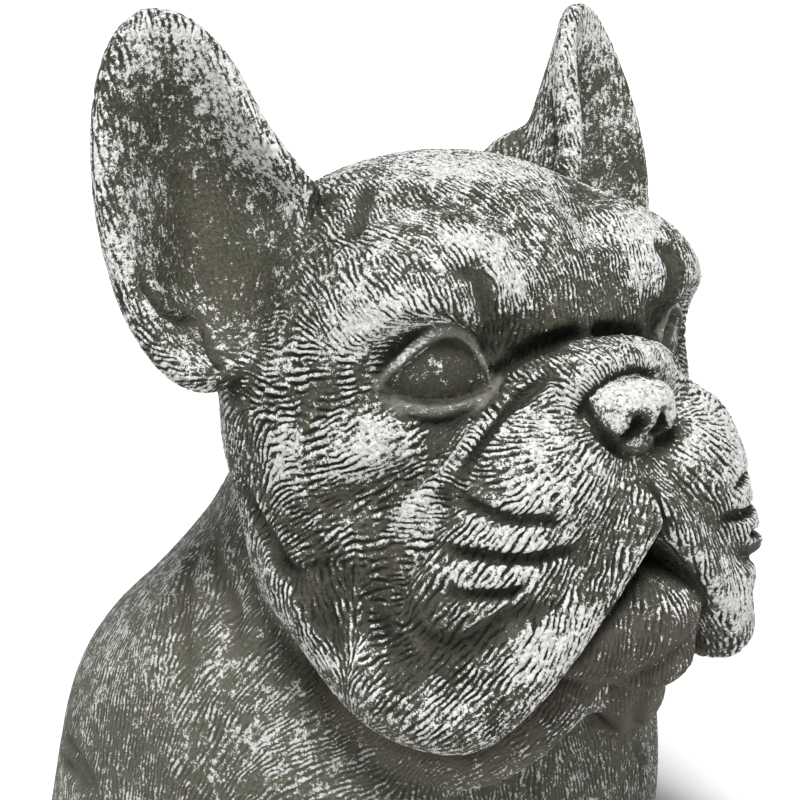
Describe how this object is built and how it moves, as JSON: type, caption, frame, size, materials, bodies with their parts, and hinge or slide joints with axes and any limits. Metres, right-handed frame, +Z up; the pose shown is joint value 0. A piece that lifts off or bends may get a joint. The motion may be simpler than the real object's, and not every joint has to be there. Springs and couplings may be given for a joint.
{
  "type": "bulldog garden statue bust",
  "caption": "Cast stone garden statue of a bat-eared bulldog, as a bust with head, neck and shoulders, cut flat below to stand by its own weight.",
  "frame": {"origin": "centre of the bounding box, on the flat underside", "axes": "+Z up to the ear tips, -Y the way the dog faces, +X towards the dog's left"},
  "size_m": [0.203, 0.2192, 0.2416],
  "materials": {
    "cast_stone": "dark olive-grey weathered cast stone, its carved fur brushed over with worn white"
  },
  "bodies": {
    "root": {"bulldog_bust": "cast_stone"}
  },
  "joints": []
}
